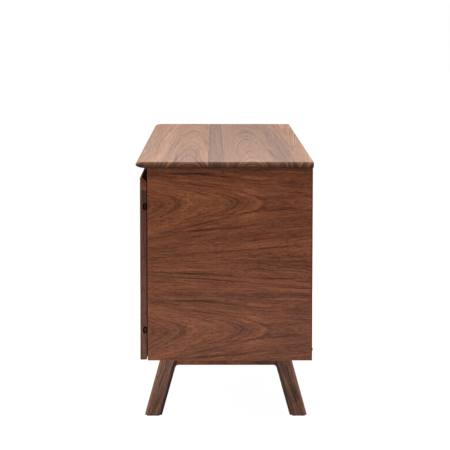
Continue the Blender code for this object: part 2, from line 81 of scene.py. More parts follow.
# Fittings that only this script adds
GROMMET_FLANGE = 0.0045
GROMMET_LIP = 0.0015
SLOT_END_STEPS = 12
SCREW_RADIUS = 0.0032
SCREW_SIDES = 24
SCREW_PROFILE = (
    # reach and height as shares of the radius, and whether the ring is the hexagonal recess
    (1.00, -0.40, False), (1.00, 0.02, False), (0.86, 0.13, False),
    (0.52, 0.17, True), (0.46, 0.12, True), (0.46, -0.30, True),
)
HINGE_SCREW_RADIUS = 0.0026
HINGE_SCREW_RISE = 0.0085  # above and below the middle of a leaf
FRAME_LEAF_SCREWS = (0.010, 0.029)  # from the rear end of the leaf on the end panel
DOOR_LEAF_SCREWS = (0.007, 0.023)  # from the free end of the leaf on the door
BACK_SCREW_INSET = 0.009
BACK_SCREW_CORNER = 0.030  # from the back panel's side to the first screw of a row
BACK_SCREWS_IN_ROW = 9
BACK_SCREW_LEVELS = (0.27, 0.50, 0.73)  # shares of the back panel's height
DIVIDER_MIDDLE = 0.309
END_SCREW = (0.8825, 0.1827)  # one screw in the rear edge of each end panel: place along X, height
END_SCREW_RADIUS = 0.0042
END_SCREW_PROUD = 2.4
KEEPER = (0.011, 0.0005, 0.032)
POLE_PLATE = (0.0014, 0.0012, 0.030)
POLE_PLATE_SHIFT = 0.0034
POLE_PLATE_PROUD = 0.0002

# Light
SKY = ((0.0, 0.08), (0.48, 0.12), (0.55, 0.16), (0.75, 0.35), (1.0, 0.60))  # from nadir to zenith
GLOW = (0.62, 0.57, 0.53)  # a warm wall beyond the left end, which the top reflects as a sheen
FLOOR_GREY = (0.045, 0.055)
FLOOR_HALF = 30.0
FLOOR_GLOW = 0.97
BLACK = (0.0, 0.0, 0.0)
WHITE = (1.0, 1.0, 1.0)
LAMPS = (
    # name, place, target, width, depth (m), power (W)
    ("right_overhead", (1.45, 0.00, 2.90), (1.45, 0.00, 0.00), 1.2, 3.0, 105.0),
    ("left_overhead", (-1.45, 0.00, 2.90), (-1.45, 0.00, 0.00), 1.2, 3.0, 70.0),
    ("front", (-0.60, -3.60, 2.40), (0.00, 0.00, 0.40), 2.4, 1.6, 60.0),
    ("right_low", (1.65, 0.00, 0.10), (0.89, 0.00, 0.22), 1.2, 0.10, 3.2),
    ("left_low", (-1.65, 0.00, 0.10), (-0.89, 0.00, 0.22), 1.2, 0.10, 3.2),
)

# Camera: a long lens at the right-hand end, a little above the top
CAMERA_PLACE = Vector((6.1563, -0.0231, 1.0364))
CAMERA_PITCH = math.radians(5.8021)
CAMERA_YAW = math.radians(0.2648)
CAMERA_ROLL = math.radians(0.0468)
CAMERA_LENS = 167.6

SIDES = (("right", 1.0), ("left", -1.0))
SHARP_ANGLE = math.radians(35)
MERGE = 1e-6  # vertices nearer than this are one
FLAT_ANGLE = math.radians(1.0)  # faces that turn less than this are one


# ---------------------------------------------------------------- materials


class Paint:
    """A short way to write node trees: each call adds a node and gives back its output."""

    def __init__(self, owner):
        """owner is a material or a world."""
        owner.use_nodes = True
        self.owner = owner
        self.tree = owner.node_tree

    def node(self, kind, values=(), output=0, **settings):
        made = self.tree.nodes.new(kind)
        for key, value in settings.items():
            setattr(made, key, value)
        for key, value in dict(values).items():
            self.feed(made.inputs[key], value)
        return made.outputs[output]

    def feed(self, socket, value):
        """Links another node's output to a socket, or sets the socket's own value."""
        if isinstance(value, bpy.types.NodeSocket):
            self.tree.links.new(value, socket)
        else:
            socket.default_value = value

    def math(self, operation, *values):
        return self.node("ShaderNodeMath", enumerate(values), operation=operation)

    def add(self, a, b):
        return self.math("ADD", a, b)

    def sub(self, a, b):
        return self.math("SUBTRACT", a, b)

    def times(self, a, b):
        return self.math("MULTIPLY", a, b)

    def axes(self, space="Object"):
        """The three coordinates of the piece's own space, in metres, or of its normal."""
        vector = self.node("ShaderNodeTexCoord", output=space)
        return self.node("ShaderNodeSeparateXYZ", {0: vector}).node.outputs

    def point(self, x, y=0.0, z=0.0):
        return self.node("ShaderNodeCombineXYZ", ((0, x), (1, y), (2, z)))

    def noise(self, point, scale=1.0, detail=2.0, roughness=0.5, distortion=0.0):
        values = {
            "Vector": point, "Scale": scale, "Detail": detail,
            "Roughness": roughness, "Distortion": distortion,
        }
        return self.node("ShaderNodeTexNoise", values)

    def ramp(self, value, stops, interpolation="LINEAR"):
        out = self.node("ShaderNodeValToRGB", {"Fac": value})
        band = out.node.color_ramp
        band.interpolation = interpolation
        while len(band.elements) < len(stops):
            band.elements.new(1.0)
        for element, (position, colour) in zip(band.elements, stops):
            element.position = position
            grey = isinstance(colour, (int, float))
            element.color = (colour, colour, colour, 1.0) if grey else (*colour, 1.0)
        return out

    def spread(self, value, low, high, new_low=0.0, new_high=1.0):
        """Takes the range low to high to a new range, and holds it there."""
        values = {"Value": value, "From Min": low, "From Max": high, "To Min": new_low, "To Max": new_high}
        return self.node("ShaderNodeMapRange", values)

    def mix(self, share, a, b, blend="MIX"):
        values = ((0, share), (6, colour4(a)), (7, colour4(b)))
        return self.node("ShaderNodeMix", values, output=2, data_type="RGBA", blend_type=blend)

    def bump(self, height, distance, strength):
        values = {"Height": height, "Distance": distance, "Strength": strength}
        return self.node("ShaderNodeBump", values)

    def finish(self, **sockets):
        shader = self.tree.nodes["Principled BSDF"]
        for key, value in sockets.items():
            self.feed(shader.inputs[key.replace("_", " ")], value)
        return self.owner


def new_paint(name):
    return Paint(bpy.data.materials.new(name))


def colour4(value):
    """A colour gets its alpha. A grey value or a socket stays as it is."""
    return (*value, 1.0) if isinstance(value, tuple) and len(value) == 3 else value


# Linear colours, from the ring lines to the palest streaks
WALNUT = {
    "deep": (0.026, 0.0085, 0.0045),
    "dark": (0.070, 0.0195, 0.0078),
    "middle": (0.138, 0.0400, 0.0150),
    "light": (0.265, 0.0880, 0.0370),
}
WALNUT_TOP = {
    "deep": (0.045, 0.0165, 0.0085),
    "dark": (0.105, 0.0430, 0.0220),
    "middle": (0.215, 0.1000, 0.0540),
    "light": (0.370, 0.1960, 0.1130),
}
WALNUT_LEG = {
    "deep": (0.018, 0.0075, 0.0048),
    "dark": (0.052, 0.0210, 0.0130),
    "middle": (0.116, 0.0480, 0.0290),
    "light": (0.255, 0.1230, 0.0800),
}
WALNUT_STILE = {
    "deep": (0.016, 0.0065, 0.0042),
    "dark": (0.042, 0.0155, 0.0092),
    "middle": (0.082, 0.0300, 0.0170),
    "light": (0.170, 0.0680, 0.0380),
}
WALNUT_INSIDE = {
    "deep": (0.050, 0.018, 0.010),
    "dark": (0.115, 0.042, 0.022),
    "middle": (0.200, 0.078, 0.041),
    "light": (0.330, 0.145, 0.080),
}
MAPLE = {
    "deep": (0.330, 0.200, 0.105),
    "dark": (0.480, 0.330, 0.195),
    "middle": (0.600, 0.440, 0.280),
    "light": (0.700, 0.550, 0.380),
}

END_GRAIN = (0.80, 0.62, 0.46)  # end grain drinks oil, so it is darker and redder than the face

# Layers of the figure: features per metre along the grain and across it, and their weight in the tone
BAND, BAND_WEIGHT = (1.2, 34.0), 0.65
STREAK, STREAK_WEIGHT = (4.5, 360.0), 0.80
CLOUD, CLOUD_WEIGHT = (5.0, 18.0), 0.25
FIBRE, FIBRE_WEIGHT = (30.0, 520.0), 0.85
VEIN, DARK_VEIN_WEIGHT, PALE_VEIN_WEIGHT = (3.6, 250.0), 0.34, 0.22
END_STREAK_WEIGHT = 2.6
PALETTE_ORDER = ("deep", "dark", "middle", "light")
TONE_STOPS = (0.0, 0.25, 0.5, 1.0)
PORE, PORE_WEIGHT = (85.0, 600.0), 0.70
LINE_FADE = (7.0, 60.0)
RIPPLE = (9.0, 42.0)
CURL = 60.0
UNEVEN = 55.0
PIT_SHADE = 0.6  # pores, and the painted shade on faces that turn down, against the palette's deepest colour


def blob(paint, u, v, place):
    """A soft spot: its middle and its reach, both along and across the grain, and perhaps a slope."""
    middle_u, middle_v, reach_u, reach_v, *slope = place
    du = paint.sub(u, middle_u)
    dv = paint.sub(v, middle_v)
    for rise in slope:
        dv = paint.sub(dv, paint.times(du, rise))
    du = paint.times(du, 1.0 / reach_u)
    dv = paint.times(dv, 1.0 / reach_v)
    far = paint.add(paint.times(du, du), paint.times(dv, dv))
    return paint.math("EXPONENT", paint.times(far, -1.0))


def centred(paint, value, weight):
    """A value around a half, as a swing of the given width around nothing."""
    return paint.times(paint.sub(value, 0.5), weight)


def grained(paint, layer, stretch, u, v, w, seed):
    """Where to read a noise whose features run with the grain and are alike in both cross directions."""
    along, across = layer
    return paint.point(
        paint.times(u, along * stretch), paint.times(v, across), paint.add(paint.times(w, across), seed)
    )


def ringed(paint, layer, stretch, u, radius, seed):
    """Where to read a noise whose features run with the grain and follow the rings."""
    along, across = layer
    return paint.point(paint.times(radius, across), paint.times(u, along * stretch), seed)


def rings(paint, u, v, w, figure):
    """Distance from the pith, so that any face cut through the board shows the right figure.

    u runs with the grain, v across the board and w through it. The figure's entries are:
    seed (its own place in the noise), pith (across and through the board), taper (slope of the pith
    through the board) or rise (start, length and depth of a curve instead), wander and speed (how far
    and how fast the pith strays), stretch (below 1 draws the figure out along the grain), ripple
    (unevenness of a ring), slants (bands that run askew: middle, reach, slope), swells (spots that
    the rings flow round) and curls (spots where they crumple).
    The second result is the place across the grain, which the fine fibres follow.
    """
    seed = figure["seed"]
    wander = figure.get("wander", 0.012)
    speed = figure.get("speed", 2.3)
    slow = paint.noise(paint.point(paint.times(u, speed), seed, 0.0))
    other = paint.noise(paint.point(paint.times(u, speed * 1.3), paint.add(seed, 7.0), 0.0))
    across = paint.add(paint.sub(v, figure["pith"][0]), centred(paint, slow, wander))
    for middle, reach, slope in figure.get("slants", ()):
        share = blob(paint, u, v, (0.0, middle, 1000.0, reach))
        across = paint.sub(across, paint.times(paint.times(u, slope), share))
    through = paint.sub(w, figure["pith"][1])
    if "rise" in figure:
        start, length, depth = figure["rise"]
        reach = paint.spread(u, start, start + length)
        through = paint.add(through, paint.times(paint.math("POWER", reach, 0.45), depth))
    else:
        through = paint.add(through, paint.times(u, figure.get("taper", 0.05)))
    through = paint.add(through, centred(paint, other, wander))
    radius = paint.math("SQRT", paint.add(paint.times(across, across), paint.times(through, through)))
    stretch = figure.get("stretch", 1.0)
    ripple = paint.noise(grained(paint, RIPPLE, stretch, u, v, w, seed), detail=3.0, roughness=0.55)
    radius = paint.add(radius, centred(paint, ripple, figure["ripple"]))
    for *place, height in figure.get("swells", ()):
        radius = paint.add(radius, paint.times(blob(paint, u, v, place), height))
    for *place, height in figure.get("curls", ()):
        curl = paint.noise(paint.point(paint.times(u, CURL), paint.times(v, CURL), seed))
        radius = paint.add(radius, paint.times(centred(paint, curl, height), blob(paint, u, v, place)))
    return radius, across


def walnut(name, along, across, figure, colours=WALNUT, turn=None, **settings):
    """Wood whose grain runs along one axis of the piece. turn may change the coordinates first."""
    paint = new_paint(name)
    axes = dict(zip("XYZ", paint.axes()))
    through = ({"X", "Y", "Z"} - {along, across}).pop()
    u, v, w = axes[along], axes[across], axes[through]
    if turn:
        u, v, w = turn(paint, u, v, w)
    return paint_wood(paint, u, v, w, figure, colours, end_axis=along, **settings)


def ring_lines(paint, u, radius, figure):
    """Thin dark lines of late wood, each ring's with its own strength, fading in and out.

    ring is the width of a ring, uneven how much it varies, crowded the radius beyond which more
    lines come in and their spacing, phase a shift of all lines, late the share of a ring before its
    late wood, and steady the least strength of a line.
    """
    seed, stretch = figure["seed"], figure.get("stretch", 1.0)
    uneven = paint.noise(paint.point(paint.times(radius, UNEVEN), seed, 3.0), detail=1.0)
    turns = paint.times(radius, 1.0 / figure["ring"])
    turns = paint.add(turns, centred(paint, uneven, figure.get("uneven", 2.4)))
    if "crowded" in figure:
        start, closer = figure["crowded"]
        beyond = paint.math("MAXIMUM", paint.sub(radius, start), 0.0)
        turns = paint.add(turns, paint.times(beyond, 1.0 / closer))
    turns = paint.add(turns, figure.get("phase", 0.0))
    each = paint.node("ShaderNodeTexWhiteNoise", {"W": paint.math("FLOOR", turns)}, noise_dimensions="1D")
    late = figure.get("late", 0.88)
    line = paint.ramp(
        paint.math("FRACT", turns),
        (
            (0.0, 0.08), (0.30, 0.0), (late - 0.18, 0.10), (late, 0.30), (late + 0.05, 1.0),
            (0.975, 1.0), (1.0, 0.08),
        ),
    )
    along, across = LINE_FADE
    fade = paint.noise(paint.point(paint.times(u, along * stretch), paint.times(radius, across), seed))
    steady = figure.get("steady", 0.25)
    line = paint.times(line, paint.spread(each, 0.0, 1.0, steady, 1.0))
    return paint.times(line, paint.spread(fade, 0.35, 0.60, steady, 1.0))


def paint_wood(
    paint, u, v, w, figure, colours, roughness=0.42, contrast=1.0, tint=None, end_axis="X", end_dark=0.45,
    gloss=0.14, painted_underside_shade=0.0, worn=None,
):
    """Growth rings, bands, streaks, fibres and pores, each at its own scale, along the grain.

    The figure's own entries here are line (strength of the ring lines), calm (below 1 weakens the
    broad layers), short (above 1 shortens the streaks), smears (soft dark or light strokes) and
    dark_rear_strip (where the piece turns darker along Y, up to its rear edge). end_dark darkens end grain,
    painted_underside_shade paints shade on what faces down, and worn gives the box whose arrises are
    rubbed.
    """
    seed = figure["seed"]
    stretch = figure.get("stretch", 1.0)
    brisk = stretch * figure.get("short", 1.0)
    radius, across = rings(paint, u, v, w, figure)
    line = ring_lines(paint, u, radius, figure)
    band_seed, streak_seed, vein_seed = (paint.add(seed, shift) for shift in (11.0, 5.0, 23.0))
    band = paint.noise(ringed(paint, BAND, stretch, u, radius, band_seed), roughness=0.6)
    streak = paint.noise(ringed(paint, STREAK, brisk, u, radius, streak_seed), detail=3.0, roughness=0.7)
    vein = paint.noise(ringed(paint, VEIN, brisk, u, radius, vein_seed), roughness=0.6)
    cloud = paint.noise(grained(paint, CLOUD, stretch, u, v, w, seed), detail=3.0)
    fibre = paint.noise(grained(paint, FIBRE, brisk, u, across, w, 0.0), detail=3.0, roughness=0.7)
    pore = paint.spread(paint.noise(grained(paint, PORE, 1.0, u, across, w, 0.0)), 0.56, 0.70)
    normal = dict(zip("XYZ", paint.axes("Normal")))
    end = paint.spread(paint.math("ABSOLUTE", normal[end_axis]), 0.25, 0.70)

    broad = contrast * figure.get("calm", 1.0)
    tone = paint.add(0.5, centred(paint, band, BAND_WEIGHT * broad))
    tone = paint.add(tone, centred(paint, streak, STREAK_WEIGHT * broad))
    tone = paint.add(tone, centred(paint, cloud, CLOUD_WEIGHT * contrast))
    tone = paint.add(tone, centred(paint, fibre, FIBRE_WEIGHT * contrast))
    tone = paint.sub(tone, paint.times(paint.spread(vein, 0.60, 0.70), DARK_VEIN_WEIGHT * broad))
    tone = paint.add(tone, paint.times(paint.spread(vein, 0.42, 0.32), PALE_VEIN_WEIGHT * broad))
    tone = paint.add(tone, paint.times(end, centred(paint, streak, END_STREAK_WEIGHT)))
    for *place, height in figure.get("smears", ()):
        tone = paint.sub(tone, paint.times(blob(paint, u, v, place), height))
    colour = paint.ramp(tone, list(zip(TONE_STOPS, (colours[key] for key in PALETTE_ORDER))))
    if tint is not None:
        colour = paint.mix(1.0, colour, tint, "MULTIPLY")
    pit = tuple(channel * PIT_SHADE for channel in colours["deep"])
    colour = paint.mix(paint.times(line, figure.get("line", 0.80)), colour, colours["deep"])
    colour = paint.mix(paint.times(pore, PORE_WEIGHT), colour, pit)
    # a darker strip over everything past a place along Y, which on the end panels runs down their rear edge
    if "dark_rear_strip" in figure:
        start = figure["dark_rear_strip"]
        strip = paint.spread(paint.axes()[1], start, start + 0.0006, 0.0, 0.95)
        colour = paint.mix(strip, colour, colours["dark"])
    thirst = paint.times(end, min(1.0, 1.1 * end_dark))
    colour = paint.mix(thirst, colour, paint.mix(1.0, colour, END_GRAIN, "MULTIPLY"))
    cut = paint.times(end, paint.spread(streak, 0.38, 0.60, 1.05 * end_dark, 0.40 * end_dark))
    colour = paint.mix(cut, colour, colours["deep"])
    # painted shade: faces that turn downwards are mixed towards the dark pore colour, as if in shadow
    if painted_underside_shade:
        underneath = paint.spread(normal["Z"], -0.05, -0.60, 0.0, painted_underside_shade)
        colour = paint.mix(underneath, colour, pit)

    rough = paint.add(roughness - 0.06, paint.times(streak, 0.10))
    rough = paint.add(rough, paint.times(pore, 0.10))
    rough = paint.add(rough, paint.times(end, 0.22))
    if worn:
        edge = paint.add(arris_distance(paint, *worn), centred(paint, cloud, 0.0016))
        rub = paint.spread(edge, 0.0004, 0.0020, 0.40, 0.0)
        colour = paint.mix(rub, colour, colours["light"])
        rough = paint.add(rough, paint.times(rub, -0.10))
    height = paint.sub(paint.times(fibre, 0.35), paint.times(pore, 0.8))
    relief = paint.bump(height, 0.00020, 0.35)
    return paint.finish(Base_Color=colour, Roughness=rough, Normal=relief, Specular_IOR_Level=gloss)


def arris_distance(paint, low, high):
    """How far a point on the surface of a box lies from the box's nearest edge."""
    gaps = []
    for place, least, most in zip(paint.axes(), low, high):
        gaps.append(paint.math("MINIMUM", paint.sub(place, least), paint.sub(most, place)))
    nearer = paint.math("MINIMUM", gaps[0], gaps[1])
    farther = paint.math("MAXIMUM", gaps[0], gaps[1])
    return paint.math("MAXIMUM", nearer, paint.math("MINIMUM", farther, gaps[2]))


def metal(name, colour, roughness, scratch):
    """Brushed or blackened metal: fine scratches along one axis, blotches and a rubbed tone."""
    paint = new_paint(name)
    place = paint.node("ShaderNodeTexCoord", output="Object")
    stretched = paint.node("ShaderNodeVectorMath", ((0, place), (1, scratch)), operation="MULTIPLY")
    lines = paint.noise(stretched, 1.0, 3.0, 0.7)
    blotch = paint.noise(place, 90.0, 3.0)
    tone = paint.spread(blotch, 0.3, 0.7, 0.75, 1.2)
    shade = paint.mix(1.0, colour, paint.point(tone, tone, tone), "MULTIPLY")
    rough = paint.add(roughness - 0.12, paint.add(paint.times(lines, 0.14), paint.times(blotch, 0.10)))
    normal = paint.bump(lines, 0.00005, 0.4)
    return paint.finish(Base_Color=shade, Metallic=1.0, Roughness=rough, Normal=normal)


def moulded(name, colour, roughness=0.5):
    """Moulded plastic with a fine spark-eroded skin."""
    paint = new_paint(name)
    place = paint.node("ShaderNodeTexCoord", output="Object")
    skin = paint.noise(place, 2500.0, 2.0)
    blotch = paint.noise(place, 60.0, 3.0)
    tone = paint.spread(blotch, 0.3, 0.7, 0.85, 1.12)
    shade = paint.mix(1.0, colour, paint.point(tone, tone, tone), "MULTIPLY")
    rough = paint.add(roughness - 0.08, paint.times(skin, 0.16))
    return paint.finish(Base_Color=shade, Roughness=rough, Normal=paint.bump(skin, 0.00004, 0.5))


def felt():
    """Pressed felt: loose hairs over darker and lighter tufts."""
    paint = new_paint("felt")
    place = paint.node("ShaderNodeTexCoord", output="Object")
    hair = paint.noise(place, 1400.0, 4.0, 0.75, 1.5)
    tuft = paint.noise(place, 260.0, 3.0)
    shade = paint.ramp(
        paint.add(paint.times(hair, 0.6), paint.times(tuft, 0.4)),
        ((0.30, (0.030, 0.022, 0.018)), (0.50, (0.075, 0.058, 0.047)), (0.72, (0.150, 0.120, 0.100))),
    )
    normal = paint.bump(paint.add(hair, tuft), 0.0004, 0.8)
    return paint.finish(
        Base_Color=shade, Roughness=0.95, Sheen_Weight=0.35, Sheen_Roughness=0.6, Normal=normal
    )


# ---------------------------------------------------------------- shapes


def put(name, bm, look, body, *nodes, slot=None):
    """Closes the bmesh into a piece that rides on a body and stands for CAD nodes."""
    bmesh.ops.recalc_face_normals(bm, faces=bm.faces)
    mesh = bpy.data.meshes.new(name)
    bm.to_mesh(mesh)
    bm.free()
    obj = bpy.data.objects.new(name, mesh)
    bpy.context.scene.collection.objects.link(obj)
    obj.data.materials.append(look)
    mesh.shade_smooth()
    mesh.set_sharp_from_angle(angle=SHARP_ANGLE)
    flatten = obj.modifiers.new("weighted_normals", "WEIGHTED_NORMAL")
    flatten.keep_sharp = True
    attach(obj, body)
    if nodes:
        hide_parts(*nodes)
    return obj


def block(low, high, radius=0.0, segments=3):
    """A rectangular block with softened arrises."""
    low, high = Vector(low), Vector(high)
    bm = bmesh.new()
    size = Matrix.Diagonal((*(high - low), 1.0))
    bmesh.ops.create_cube(bm, size=1.0, matrix=Matrix.Translation((low + high) / 2) @ size)
    if radius:
        bmesh.ops.bevel(bm, geom=bm.edges, offset=radius, segments=segments, profile=0.5, affect="EDGES")
    return bm


def body_of_node(node):
    for body, members in frame["record"]["behaviour"]["bodies"].items():
        if node in members:
            return body


def slot_of_node(node):
    for entry in frame["record"]["subparts"]:
        if entry["node"] == node:
            return entry["material_slot"]


def softened(node, look, radius=0.0008, segments=3, angle=30.0):
    """The CAD solid again, as clean faces, with every arris sharper than an angle rounded."""
    bm = bmesh.new()
    bm.from_mesh(frame["nodes"][node].data)
    bmesh.ops.remove_doubles(bm, verts=bm.verts, dist=MERGE)
    bmesh.ops.dissolve_limit(bm, angle_limit=FLAT_ANGLE, verts=bm.verts, edges=bm.edges)
    if radius:
        limit = math.radians(angle)
        sharp = [e for e in bm.edges if len(e.link_faces) == 2 and e.calc_face_angle() > limit]
        bmesh.ops.bevel(bm, geom=sharp, offset=radius, segments=segments, profile=0.5, affect="EDGES")
    return put(f"{node}_finished", bm, look, body_of_node(node), node, slot=slot_of_node(node))


def board(node, look, radius=0.0008, segments=3):
    """A wooden board in place of a rectangular CAD node."""
    bm = block(*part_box(node), radius, segments)
    return put(f"{node}_board", bm, look, body_of_node(node), node, slot=slot_of_node(node))


def top_outline(low, high, front, end, rear):
    """The top's plan outline for one set of insets: round front corners, square rear ones."""
    points = [(high.x - end, high.y - rear), (low.x + end, high.y - rear)]
    for sign in (-1, 1):
        corner_x = (low.x if sign < 0 else high.x) - sign * TOP_CORNER
        for i in range(TOP_CORNER_STEPS + 1):
            t = math.radians(90 * (i if sign < 0 else TOP_CORNER_STEPS - i) / TOP_CORNER_STEPS)
            points.append((
                corner_x + sign * (TOP_CORNER - end) * math.cos(t),
                low.y + TOP_CORNER - (TOP_CORNER - front) * math.sin(t),
            ))
    return points


def make_top():
    """A slab whose edge curves out to its widest line and back under, by its own insets on each side."""
    low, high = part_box("top_panel")
    under = high.z - low.z - TOP_RIDGE_DROP
    levels = []
    for i in range(TOP_EDGE_STEPS + 1):
        t = math.radians(90 * i / TOP_EDGE_STEPS)
        insets = [below * (1 - math.sin(t)) for _, below in TOP_INSETS.values()]
        levels.append((low.z + under * (1 - math.cos(t)), insets))
    for i in range(1, TOP_EDGE_STEPS + 1):
        t = math.radians(90 * i / TOP_EDGE_STEPS)
        insets = [above * (1 - math.cos(t)) for above, _ in TOP_INSETS.values()]
        levels.append((high.z - TOP_RIDGE_DROP * (1 - math.sin(t)), insets))
    bm = bmesh.new()
    outlines = [[(x, y, z) for x, y in top_outline(low, high, *insets)] for z, insets in levels]
    made = ring_mesh(bm, outlines)
    bm.faces.new(made[0])
    bm.faces.new(made[-1])
    return put("solid_top", bm, make_top_walnut(), "cabinet", "top_panel", slot=slot_of_node("top_panel"))


TOP_HALF = 0.226  # the staves share this half width
PITH_SHIFT = 0.5  # keeps the pith's place positive while a colour channel carries it
STAVES = (
    # rear edge, the pith's place across the top, its depth under the surface (m), tone
    (-0.042, -0.092, 0.064, 0.555),
    (0.014, -0.300, 0.030, 0.38),
    (0.186, 0.070, 0.055, 0.50),
    (0.226, 0.255, 0.060, 0.63),
)


def make_top_walnut():
    """Staves of several boards: a stepped ramp across the top picks each one's pith and tone."""
    paint = new_paint("walnut_top")
    x, y, z = paint.axes()
    share = paint.spread(y, -TOP_HALF, TOP_HALF)
    starts = [-TOP_HALF] + [stave[0] for stave in STAVES[:-1]]
    stops = []
    for start, (_, middle, depth, tone) in zip(starts, STAVES):
        stops.append(((start + TOP_HALF) / (2 * TOP_HALF), (middle + PITH_SHIFT, depth, tone)))
    picked = paint.ramp(share, stops, "CONSTANT")
    middle, depth, tone = paint.node("ShaderNodeSeparateColor", {0: picked}).node.outputs
    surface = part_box("top_panel")[1].z
    figure = {
        "pith": (paint.sub(middle, PITH_SHIFT), paint.sub(surface, depth)),
        "taper": -0.028, "wander": 0.016, "speed": 0.9, "seed": paint.times(tone, 37.0),
        "ring": 0.0047, "ripple": 0.0030, "stretch": 0.16, "uneven": 1.2,
        "line": 0.64, "late": 0.63, "steady": 0.45, "calm": 0.70,
        "swells": ((0.50, -0.195, 0.200, 0.034, 0.022), (-0.20, -0.076, 0.150, 0.016, -0.014)),
        "smears": (
            # along, across, reach along, reach across, slope, depth of tone
            (0.30, 0.192, 0.012, 0.020, 0.0, 0.45),
            (0.80, -0.125, 0.160, 0.004, 0.0, 0.35),
            (0.00, -0.039, 1.600, 0.0030, 0.0, 0.24),
            (0.00, -0.024, 1.200, 0.0022, -0.002, 0.14),
            (0.00, -0.006, 1.600, 0.0028, 0.003, 0.20),
            (0.00, 0.150, 1.600, 0.022, 0.026, 0.14),
            (0.60, 0.128, 0.300, 0.004, 0.030, 0.30),
        ),
    }
    tint = paint.ramp(
        tone, ((0.34, (0.80, 0.79, 0.81)), (0.54, (1.16, 1.16, 1.12)), (0.66, (1.56, 1.56, 1.42)))
    )
    # painted shade: the top's downward faces, the lower half of its edge and its underside, are darkened
    return paint_wood(
        paint, x, y, z, figure, WALNUT_TOP, roughness=0.40, contrast=1.10, tint=tint, end_dark=0.95,
        gloss=0.22, painted_underside_shade=0.60,
    )


LEAF = 0.3234  # height of one leaf of the end panels' veneer
LEAF_TOP = 0.652  # where the first leaf starts, hidden behind the top
LEAF_SLIP = 0.012


def slip_match(paint, u, v, w):
    """The figure starts again with every leaf of veneer, a little further along the grain."""
    count = paint.times(paint.sub(LEAF_TOP, v), 1.0 / LEAF)
    number = paint.math("FLOOR", count)
    local = paint.sub(LEAF_TOP, paint.times(paint.math("FRACT", count), LEAF))
    return paint.sub(u, paint.times(number, LEAF_SLIP)), local, w


def make_end_panels():
    """Slip-matched veneer: an arch with its point to the rear in each leaf, over straighter grain."""
    for side, s in SIDES:
        figure = {
            "pith": (0.5554, s * 0.8915), "rise": (-0.205, 0.295, s * 0.063), "wander": 0.006,
            "ring": 0.0098, "seed": 3.0 if side == "right" else 9.0, "ripple": 0.0035,
            "uneven": 0.5, "phase": 0.20, "crowded": (0.067, 0.0095), "short": 2.0,
            # the panel turns darker from this place along Y to its rear edge
            "dark_rear_strip": 0.2192,
            "slants": ((0.478, 0.050, 0.105), (0.367, 0.040, -0.075)),
            "swells": ((0.196, 0.557, 0.024, 0.014, -0.007),),
            "curls": ((-0.070, 0.556, 0.035, 0.022, 0.018),),
            "smears": (
                # along, across, reach along, reach across, slope, depth of tone
                (-0.035, 0.490, 0.130, 0.0030, 0.070, 0.30),
                (0.010, 0.434, 0.210, 0.0030, 0.085, 0.30),
                (-0.060, 0.376, 0.150, 0.0018, -0.045, 0.34),
                (-0.030, 0.362, 0.170, 0.0020, -0.075, 0.30),
                (0.138, 0.365, 0.045, 0.0022, 0.0, 0.36),
                (-0.090, 0.631, 0.080, 0.0022, -0.02, 0.36),
                (-0.020, 0.624, 0.060, 0.0018, -0.03, 0.30),
                (-0.130, 0.583, 0.060, 0.0020, -0.17, -0.22),
                (-0.100, 0.387, 0.090, 0.0022, 0.0, -0.20),
                (0.090, 0.536, 0.110, 0.0022, 0.10, 0.26),
                # painted shade: a darker band along the panel's top, where the top's overhang shades it;
                # the slip match repeats it just below the next leaf's joint
                (0.000, 0.647, 1.000, 0.0050, 0.0, 0.10),
            ),
        }
        look = walnut(
            f"walnut_{side}_end", "Y", "Z", figure, turn=slip_match, worn=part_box(f"{side}_end_panel")
        )
        board(f"{side}_end_panel", look, 0.0010)


def leg_line(height):
    """How far a leg's inner edge stands from the frame's middle at a height."""
    return FOOT_OUTER - LEG_WIDTH - height * math.tan(LEG_SPLAY)


def prism(outline, start, end):
    """An outline in the YZ plane, extruded along X."""
    bm = bmesh.new()
    face = bm.faces.new([bm.verts.new((start, y, z)) for y, z in outline])
    swept = bmesh.ops.extrude_face_region(bm, geom=[face])
    moved = [item for item in swept["geom"] if isinstance(item, bmesh.types.BMVert)]
    bmesh.ops.translate(bm, vec=(end - start, 0, 0), verts=moved)
    return bm


def make_legs():
    """Splayed legs with soft arrises. Their grain leans with them."""
    for side, s in SIDES:
        for place, t in (("front", -1.0), ("rear", 1.0)):
            node = f"{side}_{place}_leg"
            low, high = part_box(node)
            outline = [
                (leg_line(low.z), low.z),
                (leg_line(low.z) + LEG_WIDTH, low.z),
                (leg_line(high.z) + LEG_WIDTH, high.z),
                (leg_line(high.z), high.z),
            ]
            outline = [(FRAME_MIDDLE_Y + t * y, z) for y, z in outline]
            bm = prism(outline, low.x, high.x)
            bmesh.ops.bevel(
                bm, geom=bm.edges, offset=LEG_ARRIS, segments=4, profile=0.5, affect="EDGES"
            )
            foot = FRAME_MIDDLE_Y + t * (FOOT_OUTER - LEG_WIDTH / 2)
            figure = {
                "pith": (t * 0.030, s * 0.90), "taper": 0.06, "ring": 0.0065, "wander": 0.008,
                "seed": 20.0 + 3 * t + s, "ripple": 0.006,
                "smears": (
                    # along, across, reach along, reach across, slope, depth of tone
                    # painted shade: a dark stroke down the leg's inner side; painted light: a pale stroke
                    # down its outer side
                    (0.08, -0.0185 * t, 0.30, 0.0050, 0.0, 0.36 - 0.12 * t),
                    (0.08, 0.0195 * t, 0.30, 0.0035, 0.0, -0.40),
                    (0.10, 0.0040 * t, 0.07, 0.0016, 0.02, 0.35),
                ),
            }
            look = walnut(
                f"walnut_{node}", "Z", "Y", figure, WALNUT_LEG, lean(t, foot), roughness=0.45, contrast=1.35
            )
            put(f"{node}_shaped", bm, look, "cabinet", node, slot=slot_of_node(node))


